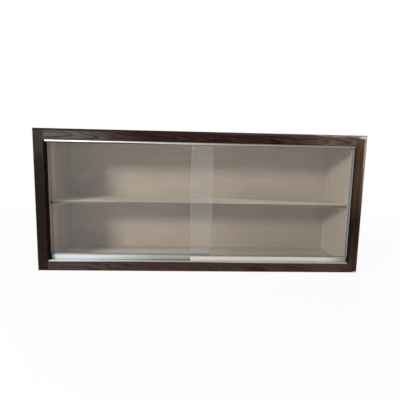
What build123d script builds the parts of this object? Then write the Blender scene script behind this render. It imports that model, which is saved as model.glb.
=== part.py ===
from build123d import *
from math import atan2, degrees
import os

# Wall display cabinet. A shallow plywood case stands behind a square frame of solid stock.
# Two glass doors roll past each other between aluminium tracks in the frame's opening,
# and one thin shelf crosses the case at half height. All sizes are in millimetres.
# The origin is the middle of the base, +X is right seen from the front, +Z is up,
# and the front faces -Y.

# Overall size
cabinet_width = 1220.0
cabinet_height = 526.0
cabinet_depth = 305.0

# Front frame
stile_width = 39.0
top_rail_height = 40.0
bottom_rail_height = 37.0
frame_thickness = 38.0
eased_edge_radius = 6.0
tenon_cover = 17.0
tenon_thickness = 12.0
tenon_shoulder = 8.0

# Case
side_thickness = 19.0
top_thickness = 19.0
bottom_thickness = 19.0
back_thickness = 6.0
end_lap = 9.5
back_lap = 9.0
rear_rail_thickness = 12.0
rear_rail_height = 70.0
dowel_diameter = 8.0
dowel_length = 40.0
dowels_across = 6
dowels_up = 3
dowel_margin = 70.0

# Shelf and the cleats under it
shelf_top_height = 257.0
shelf_thickness = 9.5
shelf_nose_radius = 1.5
shelf_setback = 59.0
shelf_gap = 0.3
cleat_thickness = 12.0
cleat_height = 19.0
cleat_setback = 22.0
cleat_slant = 9.0

# Wall fixing holes through the rear rails, for studs 32 in apart
wall_hole_spacing = 812.8
wall_hole_diameter = 5.5

# Nails and screws
nail_diameter = 1.6
nail_head_diameter = 3.4
nail_head_thickness = 0.7
nail_tip_cover = 2.0
side_nail_length = 38.0
nail_margin = 15.0
back_nails_up = 5
cleat_nails_across = 7
cleat_screw_diameter = 3.5
cleat_screw_head_diameter = 7.0
cleat_screw_tip_cover = 5.0
cleat_screw_margin = 45.0
track_screw_diameter = 3.0
track_screw_length = 22.0
upper_screw_head_diameter = 6.0
lower_screw_head_diameter = 4.8
track_screw_head_height = 1.0
track_screw_count = 5
track_screw_margin = 45.0
fastener_sides = 8

# Tracks
track_setback = 4.5
track_wall = 1.4
track_end_gap = 0.5
upper_track_height = 7.0
mouth_lip_height = 1.2
mouth_clearance = 1.0
lower_track_base = 1.5
lower_lip_height = 4.0
rib_width = 1.4
rib_height = 1.05
rib_rounding_share = 0.3

# Doors
glass_thickness = 6.0
glass_arris = 0.4
glass_lift_room = 2.2
door_side_gap = 1.0
door_overlap = 80.0
gasket_wall = 0.8
gasket_bead_inset = 0.5
gasket_bead_height = 3.0
shoe_wall = 1.2
shoe_corner_radius = 0.5
shoe_side_clearance = 2.2
glazing_depth = 7.3
running_gap = 0.3
bumper_thickness = 4.6
bumper_gap = 0.3
bumper_stem_length = 12.0
bumper_corner_radius = 1.0

# Rollers in the shoes
wheel_diameter = 9.5
wheel_head_room = 1.35
flange_lift = 0.35
flange_bevel_share = 0.3
groove_side_gap = 0.4
hub_wall = 1.2
hub_height = 0.4
hub_side_gap = 0.4
axle_diameter = 2.0
axle_clearance = 0.05
roller_frame_wall = 0.8
roller_frame_end = 6.5
roller_frame_recess = 0.8
wheel_window_clearance = 1.75
roller_margin = 60.0

# Places worked out from the sizes above
front = -cabinet_depth / 2
rear = cabinet_depth / 2
outer_x = cabinet_width / 2
side_inner_x = outer_x - side_thickness
back_edge_x = side_inner_x + back_lap
opening_x = outer_x - stile_width
opening_top = cabinet_height - top_rail_height
frame_back = front + frame_thickness
frame_middle_y = front + frame_thickness / 2
rail_front = rear - rear_rail_thickness
rail_middle_y = rear - rear_rail_thickness / 2
back_front = rail_front - back_thickness
case_ceiling = cabinet_height - top_thickness
back_top = case_ceiling + back_lap
back_bottom = bottom_thickness - back_lap
hanging_rail_bottom = back_top - rear_rail_height
lower_rail_top = back_bottom + rear_rail_height
tenon_length = stile_width - tenon_cover

shelf_bottom = shelf_top_height - shelf_thickness
cleat_front = front + shelf_setback + cleat_setback
cleat_inner_x = side_inner_x - cleat_thickness
cleat_middle_z = shelf_bottom - cleat_height / 2

pocket_width = glass_thickness + 2 * gasket_wall
shoe_width = pocket_width + 2 * shoe_wall
gasket_bead_width = shoe_width - 2 * gasket_bead_inset
channel_width = shoe_width + 2 * shoe_side_clearance
track_width = 2 * channel_width + 3 * track_wall
track_mouth = glass_thickness + 2 * mouth_clearance

track_front = front + track_setback
front_door_y = track_front + track_wall + channel_width / 2
rear_door_y = front_door_y + channel_width + track_wall
track_middle_y = track_front + track_width / 2
track_base_top = bottom_rail_height + lower_track_base
rib_top = track_base_top + rib_height
upper_web_bottom = opening_top - track_wall

wheel_radius = wheel_diameter / 2
groove_depth = rib_height + running_gap - flange_lift
groove_width = rib_width + 2 * groove_side_gap
rolling_radius = wheel_radius - groove_depth
axle_z = rib_top + running_gap + rolling_radius
frame_inner_width = pocket_width - 2 * roller_frame_wall
wheel_width = frame_inner_width - 2 * (hub_side_gap + hub_height)
window_length = wheel_diameter + 2 * wheel_window_clearance
roller_frame_length = window_length + 2 * roller_frame_end

shoe_bottom = rib_top + running_gap
cavity_top = axle_z + wheel_radius + wheel_head_room
pocket_bottom = cavity_top + shoe_wall
shoe_top = pocket_bottom + glazing_depth
glass_bottom = pocket_bottom + gasket_wall
glass_top = upper_web_bottom - glass_lift_room

back_nail_length = back_thickness + cleat_thickness - nail_tip_cover
cleat_screw_length = cleat_thickness + side_thickness - cleat_screw_tip_cover

os.makedirs("parts", exist_ok=True)


def save(piece, label):
    """Names a finished piece and writes it to its own file."""
    piece.part.label = label
    export_step(piece.part, f"parts/{label}.step")


def spread(low, high, count):
    """Evenly spaced places from low to high, both ends included."""
    return [low + i * (high - low) / (count - 1) for i in range(count)]


def turned(seat, profile, mode=Mode.ADD):
    """A round piece or hole along the seat plane's normal.

    The profile lists radius and depth pairs, all the way round the half section.
    """
    with BuildSketch(Plane(origin=seat.origin, x_dir=seat.x_dir, z_dir=-seat.y_dir)) as half_section:
        with BuildLine():
            Polyline(*profile, close=True)
        make_face()
    revolve(half_section.sketch, axis=Axis(seat.origin, seat.z_dir), mode=mode)


def round_bar(radius, start, end):
    """The half section of a plain pin or hole between two depths."""
    return [(0, start), (radius, start), (radius, end), (0, end)]


def driven(seats, profile, mode=Mode.ADD):
    """A set of nails, screws or dowels, each going in along its seat plane's normal.

    The profile lists radius and depth pairs from the outer end to the tip. The few sides
    keep the many small pieces and their holes light.
    """
    for (near_radius, near), (far_radius, far) in zip(profile, profile[1:]):
        if far > near:
            slope = degrees(atan2(near_radius - far_radius, far - near))
            with BuildSketch(*[seat.offset(near) for seat in seats]) as near_ends:
                RegularPolygon(near_radius, fastener_sides, major_radius=False)
            extrude(near_ends.sketch, amount=far - near, taper=slope, mode=mode)


def drill(seats, profile):
    """Cuts the holes of a set of fasteners in the piece being made."""
    driven(seats, profile, mode=Mode.SUBTRACT)


def inwards(x, y, z, direction):
    """The seat of a fastener that is driven in at a point, in a direction."""
    across = (0, 0, 1) if direction[2] == 0 else (1, 0, 0)
    return Plane(origin=(x, y, z), x_dir=across, z_dir=direction)


def nail_profile(length):
    """A flat-headed nail driven flush."""
    head, shank = nail_head_diameter / 2, nail_diameter / 2
    neck = nail_head_thickness
    return [(head, 0), (head, neck), (shank, neck), (shank, length)]


def pan_screw_profile(head_diameter):
    """A track screw whose low head stands on the seat."""
    head, shank = head_diameter / 2, track_screw_diameter / 2
    return [(head, -track_screw_head_height), (head, 0), (shank, 0), (shank, track_screw_length)]


back_nail_profile = nail_profile(back_nail_length)
side_nail_profile = nail_profile(side_nail_length)
upper_screw_profile = pan_screw_profile(upper_screw_head_diameter)
lower_screw_profile = pan_screw_profile(lower_screw_head_diameter)
cleat_screw_profile = [
    (cleat_screw_head_diameter / 2, 0),
    (cleat_screw_diameter / 2, (cleat_screw_head_diameter - cleat_screw_diameter) / 2),
    (cleat_screw_diameter / 2, cleat_screw_length),
]
dowel_profile = [(dowel_diameter / 2, -dowel_length / 2), (dowel_diameter / 2, dowel_length / 2)]
wall_hole_profile = round_bar(wall_hole_diameter / 2, -back_thickness, rear_rail_thickness)
axle_profile = round_bar(axle_diameter / 2, 0, pocket_width)

# Seats of all the fasteners
# A piece and the fastener in it share one seat, so that the hole and the pin agree.
dowel_xs = spread(-outer_x + dowel_margin, outer_x - dowel_margin, dowels_across)
dowel_zs = spread(dowel_margin, cabinet_height - dowel_margin, dowels_up)
top_dowels = [inwards(x, frame_back, cabinet_height - top_thickness / 2, (0, 1, 0)) for x in dowel_xs]
bottom_dowels = [inwards(x, frame_back, bottom_thickness / 2, (0, 1, 0)) for x in dowel_xs]
right_dowels = [inwards(outer_x - side_thickness / 2, frame_back, z, (0, 1, 0)) for z in dowel_zs]
left_dowels = [inwards(-outer_x + side_thickness / 2, frame_back, z, (0, 1, 0)) for z in dowel_zs]

hanging_hole_z = (back_top + hanging_rail_bottom) / 2
lower_hole_z = (back_bottom + lower_rail_top) / 2
hanging_holes = [
    inwards(side * wall_hole_spacing / 2, rail_front, hanging_hole_z, (0, 1, 0)) for side in (-1, 1)
]
lower_holes = [
    inwards(side * wall_hole_spacing / 2, rail_front, lower_hole_z, (0, 1, 0)) for side in (-1, 1)
]

back_nail_x = (side_inner_x + back_edge_x) / 2
back_nail_zs = spread(lower_rail_top + nail_margin, hanging_rail_bottom - nail_margin, back_nails_up)
right_back_nails = [inwards(back_nail_x, rail_front, z, (0, -1, 0)) for z in back_nail_zs]
left_back_nails = [inwards(-back_nail_x, rail_front, z, (0, -1, 0)) for z in back_nail_zs]
cleat_nails = [
    inwards(x, rail_front, cleat_middle_z, (0, -1, 0))
    for x in spread(-cleat_inner_x + nail_margin, cleat_inner_x - nail_margin, cleat_nails_across)
]
hanging_nail_zs = [hanging_rail_bottom + nail_margin, back_top - nail_margin]
lower_nail_zs = [back_bottom + nail_margin, lower_rail_top - nail_margin]


def side_nails(side, heights):
    """Seats of the nails that are driven through one side into the ends of the rear rails."""
    return [inwards(side * outer_x, rail_middle_y, z, (-side, 0, 0)) for z in heights]


def cleat_screw_seats(side):
    """Seats of the two countersunk screws of one side cleat."""
    places = (cleat_front + cleat_screw_margin, back_front - cleat_screw_margin)
    return [inwards(side * cleat_inner_x, y, cleat_middle_z, (side, 0, 0)) for y in places]


track_screw_xs = spread(-opening_x + track_screw_margin, opening_x - track_screw_margin, track_screw_count)
upper_track_seats = [inwards(x, front_door_y, upper_web_bottom, (0, 0, 1)) for x in track_screw_xs]
lower_track_seats = [inwards(x, track_middle_y, track_base_top, (0, 0, -1)) for x in track_screw_xs]

# Case sides
# One plan section holds the long rebate for the back and the rear rails.
# A rebate across each end takes the top or the bottom.
with BuildPart() as right_side:
    with BuildSketch(Plane.XY):
        with BuildLine():
            Polyline(
                (side_inner_x, frame_back),
                (outer_x, frame_back),
                (outer_x, rear),
                (back_edge_x, rear),
                (back_edge_x, back_front),
                (side_inner_x, back_front),
                close=True,
            )
        make_face()
    extrude(amount=cabinet_height)
    with BuildSketch(Plane.YZ.offset(side_inner_x)):
        with Locations((frame_back, 0)):
            Rectangle(rear - frame_back, bottom_thickness, align=(Align.MIN, Align.MIN))
        with Locations((frame_back, case_ceiling)):
            Rectangle(rear - frame_back, top_thickness, align=(Align.MIN, Align.MIN))
    extrude(amount=end_lap, mode=Mode.SUBTRACT)
    drill(right_dowels, dowel_profile)
    drill(right_back_nails, back_nail_profile)
    drill(side_nails(1, hanging_nail_zs + lower_nail_zs), side_nail_profile)
    drill(cleat_screw_seats(1), cleat_screw_profile)
save(right_side, "right_side")

with BuildPart() as left_side:
    add(mirror(right_side.part, about=Plane.YZ))
save(left_side, "left_side")


# Top and bottom panels
# A section with the rebate for the back runs from the rebate of one side to that of the other.
def end_panel(inner_z, lap_z, outer_z):
    """The top or the bottom of the case, from its inner face to its outer face."""
    with BuildSketch(Plane.YZ.offset(-side_inner_x - end_lap)) as section:
        with BuildLine():
            Polyline(
                (frame_back, inner_z),
                (back_front, inner_z),
                (back_front, lap_z),
                (rear, lap_z),
                (rear, outer_z),
                (frame_back, outer_z),
                close=True,
            )
        make_face()
    extrude(section.sketch, amount=2 * (side_inner_x + end_lap))


with BuildPart() as top_panel:
    end_panel(case_ceiling, back_top, cabinet_height)
    drill(top_dowels, dowel_profile)
save(top_panel, "top_panel")

with BuildPart() as bottom_panel:
    end_panel(bottom_thickness, back_bottom, 0)
    drill(bottom_dowels, dowel_profile)
save(bottom_panel, "bottom_panel")

# Back panel
# Thin plywood let into the rebates all round.
with BuildPart() as back_panel:
    with BuildSketch(Plane.XZ.offset(-back_front)):
        with Locations((0, back_bottom)):
            Rectangle(2 * back_edge_x, back_top - back_bottom, align=(Align.CENTER, Align.MIN))
    extrude(amount=-back_thickness)
    for seat in hanging_holes + lower_holes:
        turned(seat, wall_hole_profile, mode=Mode.SUBTRACT)
    drill(right_back_nails + left_back_nails + cleat_nails, back_nail_profile)
save(back_panel, "back_panel")


# Rear rails
# Two strips behind the back panel, flush with the rear edges. The cabinet hangs by the upper one.
def rear_rail(low_z, holes, nail_zs):
    """A strip across the back, with two wall holes and the holes of its end nails."""
    with BuildSketch(Plane.XZ.offset(-rail_front)) as outline:
        with Locations((0, low_z)):
            Rectangle(2 * back_edge_x, rear_rail_height, align=(Align.CENTER, Align.MIN))
    extrude(outline.sketch, amount=-rear_rail_thickness)
    for seat in holes:
        turned(seat, wall_hole_profile, mode=Mode.SUBTRACT)
    drill(side_nails(-1, nail_zs) + side_nails(1, nail_zs), side_nail_profile)


with BuildPart() as hanging_rail:
    rear_rail(hanging_rail_bottom, hanging_holes, hanging_nail_zs)
save(hanging_rail, "hanging_rail")

with BuildPart() as lower_back_rail:
    rear_rail(back_bottom, lower_holes, lower_nail_zs)
save(lower_back_rail, "lower_back_rail")


# Front frame, rails
# Solid stock with an eased outer edge. A stub tenon at each end goes into a stile.
def frame_rail(low_z, high_z, outer_z):
    """A rail between the stiles, rounded along its front edge at outer_z."""
    with BuildSketch(Plane.YZ.offset(-opening_x)) as section:
        with Locations((front, low_z)):
            Rectangle(frame_thickness, high_z - low_z, align=(Align.MIN, Align.MIN))
        fillet(vertices().sort_by_distance((front, outer_z))[0], eased_edge_radius)
    extrude(section.sketch, amount=2 * opening_x)
    with BuildSketch(Plane.YZ.offset(-opening_x - tenon_length)) as tenon:
        with Locations((frame_middle_y, (low_z + high_z) / 2)):
            Rectangle(tenon_thickness, high_z - low_z - 2 * tenon_shoulder)
    extrude(tenon.sketch, amount=2 * (opening_x + tenon_length))


with BuildPart() as top_rail:
    frame_rail(opening_top, cabinet_height, cabinet_height)
    drill(top_dowels, dowel_profile)
    drill(upper_track_seats, upper_screw_profile)
save(top_rail, "top_rail")

with BuildPart() as bottom_rail:
    frame_rail(0, bottom_rail_height, 0)
    drill(bottom_dowels, dowel_profile)
    drill(lower_track_seats, lower_screw_profile)
save(bottom_rail, "bottom_rail")

# Front frame, stiles
# Full height, with two blind mortises in the inner edge and three eased front edges.
with BuildPart() as right_stile:
    with BuildSketch(Plane.XY):
        with Locations((opening_x, front)):
            Rectangle(stile_width, frame_thickness, align=(Align.MIN, Align.MIN))
    extrude(amount=cabinet_height)
    front_edges = faces().sort_by(Axis.Y)[0].edges().sort_by(Axis.X)
    fillet(front_edges[1:], eased_edge_radius)
    for low_z, high_z in ((0, bottom_rail_height), (opening_top, cabinet_height)):
        with BuildSketch(Plane.YZ.offset(opening_x)):
            with Locations((frame_middle_y, (low_z + high_z) / 2)):
                Rectangle(tenon_thickness, high_z - low_z - 2 * tenon_shoulder)
        extrude(amount=tenon_length, mode=Mode.SUBTRACT)
    drill(right_dowels, dowel_profile)
save(right_stile, "right_stile")

with BuildPart() as left_stile:
    add(mirror(right_stile.part, about=Plane.YZ))
save(left_stile, "left_stile")

# Dowels between the frame and the case
with BuildPart() as frame_dowels:
    driven(top_dowels + bottom_dowels + right_dowels + left_dowels, dowel_profile)
save(frame_dowels, "frame_dowels")

# Shelf
# A thin board with a softly rounded nose.
with BuildPart() as shelf:
    shelf_length = 2 * (side_inner_x - shelf_gap)
    with BuildSketch(Plane.YZ.offset(-shelf_length / 2)):
        with Locations((front + shelf_setback, shelf_bottom)):
            Rectangle(
                back_front - shelf_gap - front - shelf_setback,
                shelf_thickness,
                align=(Align.MIN, Align.MIN),
            )
        fillet(vertices().group_by(Axis.X)[0], shelf_nose_radius)
    extrude(amount=shelf_length)
save(shelf, "shelf")

# Shelf cleats
# Strips under both ends and the back edge of the shelf.
# The front end of each side cleat is cut at a slant, as a joiner leaves it.
with BuildPart() as right_shelf_cleat:
    with BuildSketch(Plane.YZ.offset(cleat_inner_x)):
        with BuildLine():
            Polyline(
                (cleat_front, shelf_bottom),
                (cleat_front + cleat_slant, shelf_bottom - cleat_height),
                (back_front, shelf_bottom - cleat_height),
                (back_front, shelf_bottom),
                close=True,
            )
        make_face()
    extrude(amount=cleat_thickness)
    drill(cleat_screw_seats(1), cleat_screw_profile)
save(right_shelf_cleat, "right_shelf_cleat")

with BuildPart() as left_shelf_cleat:
    add(mirror(right_shelf_cleat.part, about=Plane.YZ))
save(left_shelf_cleat, "left_shelf_cleat")

with BuildPart() as rear_shelf_cleat:
    with BuildSketch(Plane.YZ.offset(-cleat_inner_x)):
        with Locations((back_front, shelf_bottom)):
            Rectangle(cleat_thickness, cleat_height, align=(Align.MAX, Align.MAX))
    extrude(amount=2 * cleat_inner_x)
    drill(cleat_nails, back_nail_profile)
save(rear_shelf_cleat, "rear_shelf_cleat")

# Nails and screws of the case
with BuildPart() as cleat_screws:
    driven(cleat_screw_seats(1) + cleat_screw_seats(-1), cleat_screw_profile)
save(cleat_screws, "cleat_screws")

with BuildPart() as back_nails:
    driven(right_back_nails + left_back_nails + cleat_nails, back_nail_profile)
save(back_nails, "back_nails")

with BuildPart() as rail_nails:
    rail_nail_zs = hanging_nail_zs + lower_nail_zs
    driven(side_nails(-1, rail_nail_zs) + side_nails(1, rail_nail_zs), side_nail_profile)
save(rail_nails, "rail_nails")

# Upper track
# One aluminium section, open downwards, with a channel for each door. Small lips narrow
# the mouth of each channel to guide the top edge of the glass.
track_length = 2 * (opening_x - track_end_gap)
with BuildPart() as upper_track:
    with BuildSketch(Plane.YZ.offset(-track_length / 2)):
        with Locations((track_front, opening_top)):
            Rectangle(track_width, upper_track_height, align=(Align.MIN, Align.MAX))
        with Locations((front_door_y, upper_web_bottom), (rear_door_y, upper_web_bottom)):
            Rectangle(
                channel_width,
                upper_track_height - track_wall - mouth_lip_height,
                align=(Align.CENTER, Align.MAX),
                mode=Mode.SUBTRACT,
            )
            Rectangle(
                track_mouth,
                upper_track_height - track_wall,
                align=(Align.CENTER, Align.MAX),
                mode=Mode.SUBTRACT,
            )
    extrude(amount=track_length)
    drill(upper_track_seats, upper_screw_profile)
save(upper_track, "upper_track")

# Lower track
# A flat base with a lip along each edge and a low rib under each row of wheels.
with BuildPart() as lower_track:
    with BuildSketch(Plane.YZ.offset(-track_length / 2)):
        with Locations((track_front, bottom_rail_height)):
            Rectangle(track_width, lower_track_base, align=(Align.MIN, Align.MIN))
        with Locations((front_door_y, track_base_top), (rear_door_y, track_base_top)):
            Rectangle(rib_width, rib_height, align=(Align.CENTER, Align.MIN))
        fillet(vertices().group_by(Axis.Y)[-1], rib_width * rib_rounding_share)
        with Locations((track_front, bottom_rail_height)):
            Rectangle(track_wall, lower_lip_height, align=(Align.MIN, Align.MIN))
        with Locations((track_front + track_width, bottom_rail_height)):
            Rectangle(track_wall, lower_lip_height, align=(Align.MAX, Align.MIN))
    extrude(amount=track_length)
    drill(lower_track_seats, lower_screw_profile)
save(lower_track, "lower_track")

with BuildPart() as upper_track_screws:
    driven(upper_track_seats, upper_screw_profile)
save(upper_track_screws, "upper_track_screws")

with BuildPart() as lower_track_screws:
    driven(lower_track_seats, lower_screw_profile)
save(lower_track_screws, "lower_track_screws")


# Sliding doors
# The left door runs in the rear track and the right door in the front track. Each is a
# pane whose lower edge sits in a grey gasket in an aluminium shoe, and the shoe hides two rollers.
# A side of -1 stands for the left door and a side of 1 for the right one.
def glass_pane(y, low_x, high_x):
    """A pane with a small arris ground on every edge."""
    with BuildSketch(Plane.XZ.offset(-y)) as outline:
        with Locations(((low_x + high_x) / 2, glass_bottom)):
            Rectangle(high_x - low_x, glass_top - glass_bottom, align=(Align.CENTER, Align.MIN))
    extrude(outline.sketch, amount=glass_thickness / 2, both=True)
    chamfer(edges(), glass_arris)


def shoe_bar(y, low_x, high_x):
    """The shoe: a glazing pocket above, and a cavity for the rollers below."""
    with BuildSketch(Plane.YZ.offset(low_x)) as section:
        with Locations((y, shoe_bottom)):
            Rectangle(shoe_width, shoe_top - shoe_bottom, align=(Align.CENTER, Align.MIN))
        fillet(vertices(), shoe_corner_radius)
        for low_z, high_z in ((shoe_bottom, cavity_top), (pocket_bottom, shoe_top)):
            with Locations((y, (low_z + high_z) / 2)):
                Rectangle(pocket_width, high_z - low_z, mode=Mode.SUBTRACT)
    extrude(section.sketch, amount=high_x - low_x)


def gasket_strip(y, low_x, high_x):
    """The U-shaped gasket round the glass edge, with a bead that covers the shoe's lips."""
    bead_top = shoe_top + gasket_bead_height
    with BuildSketch(Plane.YZ.offset(low_x)) as section:
        with Locations((y, pocket_bottom)):
            Rectangle(pocket_width, shoe_top - pocket_bottom, align=(Align.CENTER, Align.MIN))
        with Locations((y, shoe_top)):
            Rectangle(gasket_bead_width, gasket_bead_height, align=(Align.CENTER, Align.MIN))
        fillet(vertices().group_by(Axis.Y)[-1], gasket_wall)
        with Locations((y, (glass_bottom + bead_top) / 2)):
            Rectangle(glass_thickness, bead_top - glass_bottom, mode=Mode.SUBTRACT)
    extrude(section.sketch, amount=high_x - low_x)


def axle_seat(x, y):
    """The front end of an axle that spans the shoe's cavity."""
    return inwards(x, y - pocket_width / 2, axle_z, (0, 1, 0))


def roller_frame(x, y):
    """A folded steel frame pressed into the shoe, with a window for the wheel."""
    leg_bottom = shoe_bottom + roller_frame_recess
    web_bottom = cavity_top - roller_frame_wall
    with BuildSketch(Plane.YZ.offset(x - roller_frame_length / 2)) as section:
        with Locations((y, (leg_bottom + cavity_top) / 2)):
            Rectangle(pocket_width, cavity_top - leg_bottom)
        with Locations((y, (leg_bottom + web_bottom) / 2)):
            Rectangle(frame_inner_width, web_bottom - leg_bottom, mode=Mode.SUBTRACT)
    extrude(section.sketch, amount=roller_frame_length)
    with BuildSketch(Plane.XY.offset(cavity_top)) as window:
        with Locations((x, y)):
            Rectangle(window_length, frame_inner_width)
    extrude(window.sketch, amount=-roller_frame_wall, mode=Mode.SUBTRACT)
    turned(axle_seat(x, y), axle_profile, mode=Mode.SUBTRACT)


def grooved_wheel(x, y):
    """A wheel turned with a groove for the rib, flanges, a hub on each face and a bore."""
    bore = axle_diameter / 2 + axle_clearance
    hub = axle_diameter / 2 + hub_wall
    half_width = wheel_width / 2
    groove_half = groove_width / 2
    bevel = (half_width - groove_half) * flange_bevel_share
    half_section = [
        (bore, half_width + hub_height),
        (hub, half_width + hub_height),
        (hub, half_width),
        (wheel_radius - bevel, half_width),
        (wheel_radius, half_width - bevel),
        (wheel_radius, groove_half + bevel),
        (rolling_radius, groove_half),
    ]
    other_half = [(radius, -depth) for radius, depth in reversed(half_section)]
    turned(inwards(x, y, axle_z, (0, 1, 0)), half_section + other_half)


def shoe_bumper(y, shoe_end, side):
    """A rubber plug in the outer end of a shoe that meets the stile when the door is shut."""
    with BuildSketch(Plane.YZ.offset(shoe_end)) as head:
        with Locations((y, shoe_bottom)):
            Rectangle(shoe_width, shoe_top - shoe_bottom, align=(Align.CENTER, Align.MIN))
        fillet(vertices(), bumper_corner_radius)
    extrude(head.sketch, amount=side * bumper_thickness)
    stem_bottom = shoe_bottom + bumper_corner_radius
    with BuildSketch(Plane.YZ.offset(shoe_end)) as stem:
        with Locations((y, (stem_bottom + cavity_top) / 2)):
            Rectangle(pocket_width, cavity_top - stem_bottom)
    extrude(stem.sketch, amount=-side * bumper_stem_length)
    with BuildSketch(Plane.YZ.offset(shoe_end)) as glass_slot:
        with Locations((y, (glass_bottom + shoe_top) / 2)):
            Rectangle(glass_thickness, shoe_top - glass_bottom)
    extrude(glass_slot.sketch, amount=side * bumper_thickness, mode=Mode.SUBTRACT)


def make_door(name, side, y):
    """Writes the pieces of one door."""
    low_x, high_x = sorted((side * (opening_x - door_side_gap), -side * door_overlap / 2))
    shoe_end = side * (opening_x - bumper_gap - bumper_thickness)
    shoe_low, shoe_high = sorted((shoe_end, -side * door_overlap / 2))
    roller_xs = {
        "outer": shoe_end - side * roller_margin,
        "inner": side * (roller_margin - door_overlap / 2),
    }

    with BuildPart() as pane:
        glass_pane(y, low_x, high_x)
    save(pane, f"{name}_glass")
    with BuildPart() as shoe:
        shoe_bar(y, shoe_low, shoe_high)
    save(shoe, f"{name}_shoe")
    with BuildPart() as gasket:
        gasket_strip(y, shoe_low, shoe_high)
    save(gasket, f"{name}_gasket")
    with BuildPart() as bumper:
        shoe_bumper(y, shoe_end, side)
    save(bumper, f"{name}_bumper")
    for place, x in roller_xs.items():
        with BuildPart() as frame:
            roller_frame(x, y)
        save(frame, f"{name}_{place}_roller_frame")
        with BuildPart() as axle:
            turned(axle_seat(x, y), axle_profile)
        save(axle, f"{name}_{place}_axle")
        with BuildPart() as wheel:
            grooved_wheel(x, y)
        save(wheel, f"{name}_{place}_wheel")


make_door("left_door", -1, rear_door_y)
make_door("right_door", 1, front_door_y)
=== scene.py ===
import math

import bpy
from mathutils import Matrix, Vector


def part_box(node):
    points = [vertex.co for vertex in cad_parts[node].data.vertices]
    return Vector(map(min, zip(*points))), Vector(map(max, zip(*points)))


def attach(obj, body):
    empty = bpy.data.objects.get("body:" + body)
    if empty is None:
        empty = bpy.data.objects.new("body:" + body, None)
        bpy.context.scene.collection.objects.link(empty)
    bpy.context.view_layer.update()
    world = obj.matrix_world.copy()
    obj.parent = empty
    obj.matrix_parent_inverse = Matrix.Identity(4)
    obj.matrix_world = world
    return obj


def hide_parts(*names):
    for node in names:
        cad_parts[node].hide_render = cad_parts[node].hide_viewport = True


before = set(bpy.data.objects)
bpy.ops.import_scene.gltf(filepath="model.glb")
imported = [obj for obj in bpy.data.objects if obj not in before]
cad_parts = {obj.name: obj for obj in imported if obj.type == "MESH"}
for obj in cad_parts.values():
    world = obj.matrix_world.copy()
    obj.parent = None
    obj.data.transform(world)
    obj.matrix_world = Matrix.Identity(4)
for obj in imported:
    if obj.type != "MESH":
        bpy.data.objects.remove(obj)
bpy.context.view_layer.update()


# The view
# The cabinet is seen from the front, a little left of its middle and at about three quarters of
# its height, by a camera that looks slightly down.
view_place = Vector((-0.04824, -1.25726, 0.40781))
view_right = Vector((0.99919, -0.03502, 0.02007))
view_up = Vector((-0.01579, 0.11847, 0.99283))
view_ahead = Vector((0.03714, 0.99233, -0.11782))
lens = bpy.data.cameras.new("front_view")
lens.lens = 26.968
lens.sensor_width = 36.0
camera = bpy.data.objects.new("front_view", lens)
camera.matrix_world = Matrix((view_right, view_up, -view_ahead)).transposed().to_4x4()
camera.matrix_world.translation = view_place
bpy.context.scene.collection.objects.link(camera)
bpy.context.scene.camera = camera
bpy.context.scene.view_settings.view_transform = "Standard"


# The studio
# A pale paper floor in a white room. One soft window-like lamp stands to the left, in front
# and above, and a weaker one lights the cabinet's back.
class Wire:
    """An output of a node. Arithmetic with wires and numbers adds Math nodes."""

    def __init__(self, finish, socket):
        self.finish = finish
        self.socket = socket

    def math(self, operation, *operands):
        """Adds a Math node that works on the operands."""
        return self.finish.node("Math", {"operation": operation}, dict(enumerate(operands)))

    def __add__(self, other):
        return self.math("ADD", self, other)

    def __sub__(self, other):
        return self.math("SUBTRACT", self, other)

    def __rsub__(self, other):
        return self.math("SUBTRACT", other, self)

    def __mul__(self, other):
        return self.math("MULTIPLY", self, other)

    def __truediv__(self, other):
        return self.math("DIVIDE", self, other)

    def __pow__(self, power):
        return self.math("POWER", self, power)

    def __mod__(self, period):
        return self.math("FLOORED_MODULO", self, period)

    def __and__(self, other):
        return self.math("MINIMUM", self, other)

    def __or__(self, other):
        return self.math("MAXIMUM", self, other)

    def __abs__(self):
        return self.math("ABSOLUTE", self)

    __radd__ = __add__


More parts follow.
